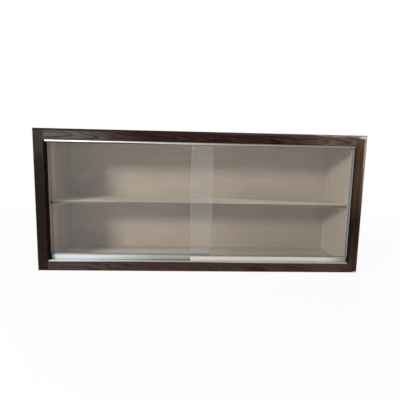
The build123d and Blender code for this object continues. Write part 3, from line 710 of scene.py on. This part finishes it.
def aluminium(name, dim_from, dim_to, dim_reflection, bright, grain=0.46, groove_shade_top=None,
              grimy_rim=None, shaded_foot=None):
    """Extruded metal with drawn lines along x, finger marks, and a reflection that is painted dimmer
    and warmer towards one end. Painted shade may lie in the groove behind the front lip, below a
    height, and the lip is dull left of its middle. Grime may lie on a rim, above a height, and a
    painted shadow on a foot, below one, in the left half."""
    finish = Finish(bpy.data.materials.new(name))
    x, y, z = finish.place()
    lines = finish.noise(x * 1.5, y * 1600, z * 1600, 4.0, 0.7)
    bands = finish.noise(x * 4, y * 320, z * 320)
    marks = finish.step(finish.noise(x * 45, y * 90, z * 90, 4.0, 0.65), 0.52, 0.72)
    nicks = finish.step(finish.noise(x * 320, y * 900, z * 900, 2.0), 0.72, 0.78)
    # Painted reflection: bright towards one end, dimmer and warmer towards the other, like the room it
    # mirrors.
    tone = finish.mix(finish.step(x, dim_from, dim_to), bright, dim_reflection)
    tone = finish.mix(lines * 0.4 + bands * 0.4 - 0.1, tone, colour(120, 120, 122))
    tone = finish.mix(marks * 0.2, tone, colour(120, 116, 108))
    tone = finish.mix(nicks * 0.5, tone, colour(70, 70, 72))
    if groove_shade_top:
        # Painted shade in the groove behind the front lip, most from the middle rightwards.
        behind_lip = finish.step(y, lip_back - 0.0004, lip_back + 0.0002)
        grime_and_shade = behind_lip * finish.step(z, groove_shade_top + 0.0004, groove_shade_top)
        tone = finish.mix(grime_and_shade * (finish.step(x, -0.40, 0.0) * 0.5 + 0.05), tone, colour(60, 57, 54))
        on_lip = finish.step(y, lip_back + 0.0002, lip_back - 0.0004)
        dull = on_lip * finish.step(abs(x + 0.17), 0.35, 0.05)
        tone = finish.mix(dull * 0.25, tone, colour(112, 106, 98))
    if grimy_rim:
        rim = finish.step(z + (bands - 0.5) * 0.0004, grimy_rim - 0.0004, grimy_rim + 0.0004)
        tone = finish.mix(rim * 0.6, tone, colour(96, 95, 92))
    # Painted shadow: a dark line along the lower edge of the front lip, in the left half.
    if shaded_foot:
        foot = finish.step(z + (bands - 0.5) * 0.0004, shaded_foot + 0.0004, shaded_foot - 0.0004)
        tone = finish.mix(foot * finish.step(x, -0.05, -0.30) * 0.93, tone, colour(66, 64, 62))
    rough = grain + lines * 0.16 + marks * 0.12
    sockets = {"Base Color": tone, "Roughness": rough, "Metallic": 1.0}
    finish.coat(sockets, lines * 0.6 + bands * 0.4 - nicks, depth=0.00006)
    return finish


upper_metal = aluminium("upper_track_aluminium", dim_from=-0.45, dim_to=0.45,
                        dim_reflection=colour(162, 146, 120), bright=colour(206, 206, 206), grain=0.36,
                        shaded_foot=0.4810)
lower_metal = aluminium("lower_track_aluminium", dim_from=-0.3, dim_to=0.5,
                        dim_reflection=colour(214, 206, 190), bright=colour(224, 225, 228),
                        groove_shade_top=0.0405)
dress(upper_metal, "upper_track")
dress(lower_metal, "lower_track")


# Track screws
# Ten low pan-head screws with a cross slot hold the tracks, five in each. The upper ones look
# down between the track's lips, and the smaller lower ones stand between the two ribs.
def track_screw(head):
    """A pan-head screw whose seat is at the origin and whose head stands above it."""
    head_height = 0.001
    shank = 0.0013
    length = 0.0190
    point = 0.0028
    bpy.ops.object.select_all(action="DESELECT")
    bpy.ops.mesh.primitive_cylinder_add(vertices=32, radius=head, depth=head_height,
                                        location=(0, 0, head_height / 2))
    screw = bpy.context.object
    bpy.ops.object.transform_apply()
    pick(screw, facing=1)
    bpy.ops.mesh.bevel(offset=0.0006, segments=4, affect="EDGES")
    pick(screw, facing=-1)
    bpy.ops.mesh.inset(thickness=head - shank)
    draw_down(length)
    draw_down(point, shrink=0.12)
    bpy.ops.object.mode_set(mode="OBJECT")
    cut_cross(screw, top=head_height, reach=head * 1.15, width=0.0007, depth=0.0007)
    cut_thread(screw, core=0.0012, start=-0.0035, pitch=0.0011, turns=13)
    bpy.ops.object.shade_smooth_by_angle(angle=sharp_angle)
    screw.data.materials.append(screw_zinc.owner)
    return screw


screw_row = (-0.526, -0.263, 0.0, 0.263, 0.526)
upper_seat_y = -0.1394
upper_seat_z = 0.4846
lower_seat_y = -0.1315
lower_seat_z = 0.0385
drive(track_screw(head=0.0030), "upper_track_screw", "upper_track_screws",
      [((across, upper_seat_y, upper_seat_z), (0, 0, -1)) for across in screw_row])
drive(track_screw(head=0.0024), "lower_track_screw", "lower_track_screws",
      [((across, lower_seat_y, lower_seat_z), (0, 0, 1)) for across in screw_row])


# Doors
# Each door is a loose 6 mm pane of float glass, with its edges ground, that stands in a metal
# shoe. The left door runs in the rear channel and the right one in front of it.
def float_glass(pane_node, handled):
    """Clear glass with a faint film of dust and wiping marks, thicker along the closing edge of
    a door that is handled more. Its ground edges are grey."""
    finish = Finish(bpy.data.materials.new(pane_node + "_clear"))
    low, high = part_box(pane_node)
    x, y, z = finish.place()
    facing = finish.node("LayerWeight", {}, {"Blend": 0.5}, "Facing")
    mirror = facing ** 5 * 0.96 + 0.04
    wipes = finish.noise(x * 5 + z * 4, y * 5, z * 16 - x * 9, 3.0, 0.6)
    specks = finish.step(finish.noise(x * 420, y * 420, z * 420, 1.0), 0.7, 0.76)
    closing_edge = finish.step(abs(x), 0.5590, 0.5610) * handled
    film = finish.step(wipes, 0.35, 0.8) * 0.02 + 0.006 + specks * 0.05 + closing_edge * 0.10
    clear = finish.node("BsdfTransparent", {}, {"Color": colour(252, 252, 252)})
    dust = finish.node("BsdfDiffuse", {}, {"Color": colour(204, 203, 208)})
    gloss = finish.node("BsdfGlossy", {}, {"Color": colour(255, 255, 255), "Roughness": 0.02})
    pane = finish.node("MixShader", {}, {0: film, 1: clear, 2: dust})
    pane = finish.node("MixShader", {}, {0: mirror, 1: pane, 2: gloss})
    edge_tone = finish.mix(finish.noise(x * 300, y * 900, z * 300), colour(206, 208, 204),
                           colour(170, 176, 174))
    ground = finish.node("BsdfPrincipled", {}, {"Base Color": edge_tone, "Roughness": 0.35})
    ground = finish.node("MixShader", {}, {0: 0.55, 1: clear, 2: ground})
    inset = (x - low[0]) & (high[0] - x) & (z - low[2]) & (high[2] - z)
    edge = finish.step(inset, 0.0009, 0.0005)
    finish.show(finish.node("MixShader", {}, {0: edge, 1: pane, 2: ground}))
    return finish


dress(float_glass("left_door_glass", handled=0.0), "left_door_glass")
dress(float_glass("right_door_glass", handled=1.0), "right_door_glass")


# Door gaskets
# A grey vinyl channel is pressed over the pane's lower edge and holds it in the shoe. Its bead
# covers the shoe's lips and shows as a thin line above the metal.
vinyl = Finish(bpy.data.materials.new("gasket_vinyl"))
x, y, z = vinyl.place()
drawn = vinyl.noise(x * 6, y * 1400, z * 1400, 3.0)
dusty = vinyl.step(vinyl.noise(x * 30, y * 200, z * 200, 4.0), 0.45, 0.7)
vinyl_tone = vinyl.mix(dusty * 0.5, colour(124, 129, 132), colour(166, 165, 160))
vinyl_tone = vinyl.mix(drawn * 0.4, vinyl_tone, colour(84, 88, 92))
vinyl.coat({"Base Color": vinyl_tone, "Roughness": 0.45 + dusty * 0.25}, drawn, depth=0.0001)
dress(vinyl, "left_door_gasket", "right_door_gasket")


# Door shoes
# Extruded aluminium channels along the lower edge of the panes, hollow below for the rollers. The
# left one dulls towards the middle. The right one is yellower and darker at its outer end. Both
# are painted reflections of a room that is dimmer towards the right.
left_metal = aluminium("left_shoe_aluminium", dim_from=-0.45, dim_to=-0.12,
                       dim_reflection=colour(190, 188, 176), bright=colour(228, 232, 236),
                       grimy_rim=0.0558)
right_metal = aluminium("right_shoe_aluminium", dim_from=0.48, dim_to=0.57,
                        dim_reflection=colour(150, 142, 124), bright=colour(228, 220, 203))
dress(left_metal, "left_door_shoe")
dress(right_metal, "right_door_shoe")


# Door bumpers
# A moulded block of black rubber plugs the outer end of each shoe by its stem. It meets the stile
# when the door is shut, and chalky dust sticks to it.
rubber = Finish(bpy.data.materials.new("bumper_rubber"))
x, y, z = rubber.place()
crumb = rubber.noise(x * 1800, y * 1800, z * 1800, 3.0)
chalk = rubber.step(rubber.noise(x * 160, y * 160, z * 160, 3.0), 0.5, 0.75)
rubber_tone = rubber.mix(chalk * 0.4 + crumb * 0.15, colour(26, 24, 24), colour(74, 70, 66))
rubber.coat({"Base Color": rubber_tone, "Roughness": 0.6 + crumb * 0.2}, crumb, depth=0.00015)
dress(rubber, "left_door_bumper", "right_door_bumper")


# Rollers
# Each shoe holds two folded frames of zinc-plated steel. A pin through each carries a grooved
# nylon wheel, which runs on a rib of the lower track.
roller_steel = zinc_steel("roller_steel", base=colour(206, 206, 200),
                          shade=colour(160, 160, 158), rust=0.0)
wheel_height = 0.0436
for door, outer_x, inner_x in (("left_door", -0.5061, -0.020), ("right_door", 0.5061, 0.020)):
    for place, middle_x in (("outer", outer_x), ("inner", inner_x)):
        dress(roller_steel, f"{door}_{place}_roller_frame", f"{door}_{place}_axle")
        nylon = Finish(bpy.data.materials.new(f"{door}_{place}_nylon"))
        x, y, z = nylon.place()
        aside, up = x - middle_x, z - wheel_height
        radius = (aside * aside + up * up) ** 0.5
        dirt = nylon.step(nylon.noise(x * 900, y * 900, z * 900), 0.3, 0.7)
        tread = nylon.step(radius, 0.0034, 0.0040) & dirt
        turned = nylon.noise(radius * 9000, y * 300, 0.0)
        nylon_tone = nylon.mix(turned * 0.3, colour(232, 228, 214), colour(206, 200, 184))
        nylon_tone = nylon.mix(tread * 0.6, nylon_tone, colour(120, 116, 108))
        sockets = {"Base Color": nylon_tone, "Roughness": 0.34 + tread * 0.3}
        nylon.coat(sockets, turned, depth=0.00004)
        dress(nylon, f"{door}_{place}_wheel")
